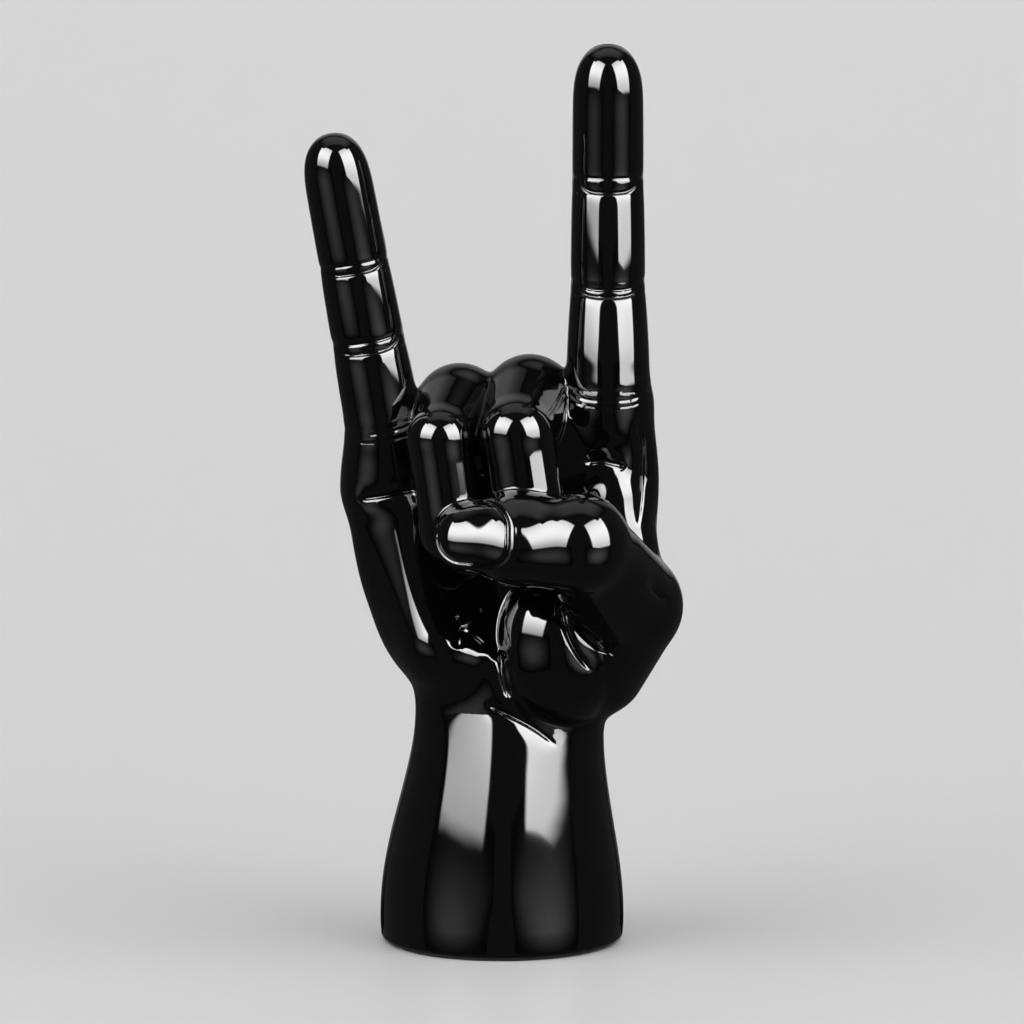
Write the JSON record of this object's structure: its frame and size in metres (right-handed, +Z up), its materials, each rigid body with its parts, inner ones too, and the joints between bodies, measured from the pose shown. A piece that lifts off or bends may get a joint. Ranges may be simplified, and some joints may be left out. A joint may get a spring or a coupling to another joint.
{
  "type": "hand sculpture",
  "caption": "Free-standing gloss black hand on a flared forearm, index and little fingers raised, thumb across the curled fingers.",
  "frame": {"origin": "centre of the foot on the surface that the sculpture stands on", "axes": "+Z up along the forearm, -Y the way the palm faces, +X the side of the thumb and the index finger"},
  "size_m": [0.1379, 0.1161, 0.3299],
  "materials": {
    "lacquered_resin": "gloss black lacquer over cast resin",
    "dowel_steel": "bright drawn",
    "base_board": "raw fibreboard",
    "felt": "black pressed felt"
  },
  "bodies": {
    "root": {"palm_and_forearm": "lacquered_resin", "index_finger": "lacquered_resin", "middle_finger": "lacquered_resin", "ring_finger": "lacquered_resin", "little_finger": "lacquered_resin", "thumb": "lacquered_resin", "index_finger_dowel": "dowel_steel", "middle_finger_dowel": "dowel_steel", "ring_finger_dowel": "dowel_steel", "little_finger_dowel": "dowel_steel", "thumb_dowel": "dowel_steel", "base_plate": "base_board", "felt_pad": "felt"}
  },
  "joints": []
}
